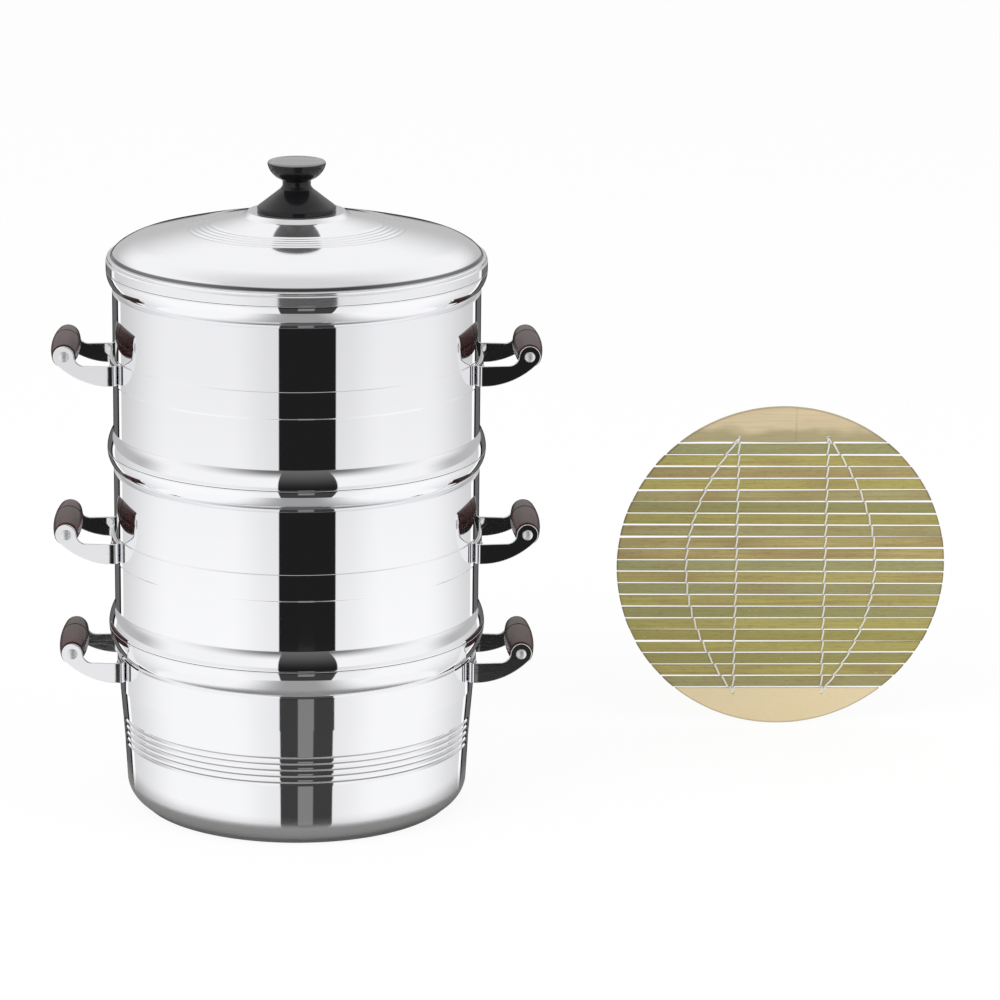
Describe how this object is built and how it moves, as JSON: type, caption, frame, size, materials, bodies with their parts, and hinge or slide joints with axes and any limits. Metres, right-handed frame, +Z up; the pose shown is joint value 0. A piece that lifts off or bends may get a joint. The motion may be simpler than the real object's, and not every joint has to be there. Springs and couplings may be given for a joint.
{
  "type": "steamer pot set",
  "caption": "Stacking aluminium steamer with a base pot, steaming tiers, domed lid and round bamboo slat racks.",
  "frame": {"origin": "centre of the base pot's flat underside, on the pot's own axis", "axes": "+Z up along the pot's axis; the handles lie along X; the front faces -Y; the loose rack stands beside the pot on the +X side"},
  "size_m": [0.7612, 0.3569, 0.5347],
  "materials": {
    "polished_aluminium": "mirror polished, fine spun lines",
    "strap": "bright polished strip",
    "fastener": "bright domed heads",
    "black_knob": "glossy moulded resin",
    "brown_grip": "glossy moulded resin",
    "bamboo_slat": "split bamboo, skin side",
    "bamboo_board": "planed bamboo",
    "cotton_string": "twisted cotton"
  },
  "bodies": {
    "base": {"base_pot": "polished_aluminium", "base_right_handle_bracket": "strap", "base_right_handle_grip": "brown_grip", "base_right_grip_rod": "fastener", "base_right_bracket_rivets": "fastener", "base_left_handle_bracket": "strap", "base_left_handle_grip": "brown_grip", "base_left_grip_rod": "fastener", "base_left_bracket_rivets": "fastener"},
    "middle_tier": {"middle_tier": "polished_aluminium", "middle_right_handle_bracket": "strap", "middle_right_handle_grip": "brown_grip", "middle_right_grip_rod": "fastener", "middle_right_bracket_rivets": "fastener", "middle_left_handle_bracket": "strap", "middle_left_handle_grip": "brown_grip", "middle_left_grip_rod": "fastener", "middle_left_bracket_rivets": "fastener"},
    "upper_tier": {"upper_tier": "polished_aluminium", "upper_right_handle_bracket": "strap", "upper_right_handle_grip": "brown_grip", "upper_right_grip_rod": "fastener", "upper_right_bracket_rivets": "fastener", "upper_left_handle_bracket": "strap", "upper_left_handle_grip": "brown_grip", "upper_left_grip_rod": "fastener", "upper_left_bracket_rivets": "fastener"},
    "lid": {"lid": "polished_aluminium", "lid_knob": "black_knob", "knob_washer": "fastener", "knob_screw": "fastener"},
    "middle_rack": {"middle_rack_slats": "bamboo_slat", "middle_rack_top_board": "bamboo_board", "middle_rack_bottom_board": "bamboo_board", "middle_rack_strings": "cotton_string"},
    "upper_rack": {"upper_rack_slats": "bamboo_slat", "upper_rack_top_board": "bamboo_board", "upper_rack_bottom_board": "bamboo_board", "upper_rack_strings": "cotton_string"}
  },
  "joints": [
    {"name": "middle_tier_lift", "type": "slide", "parent": "base", "child": "middle_tier", "axis": [0, 0, 1], "range_m": [0, 0.25]},
    {"name": "upper_tier_lift", "type": "slide", "parent": "middle_tier", "child": "upper_tier", "axis": [0, 0, 1], "range_m": [0, 0.25]},
    {"name": "lid_lift", "type": "slide", "parent": "upper_tier", "child": "lid", "axis": [0, 0, 1], "range_m": [0, 0.2]},
    {"name": "middle_rack_lift", "type": "slide", "parent": "middle_tier", "child": "middle_rack", "axis": [0, 0, 1], "range_m": [0, 0.12]},
    {"name": "upper_rack_lift", "type": "slide", "parent": "base", "child": "upper_rack", "axis": [0, 0, 1], "range_m": [0, 0.15]}
  ]
}
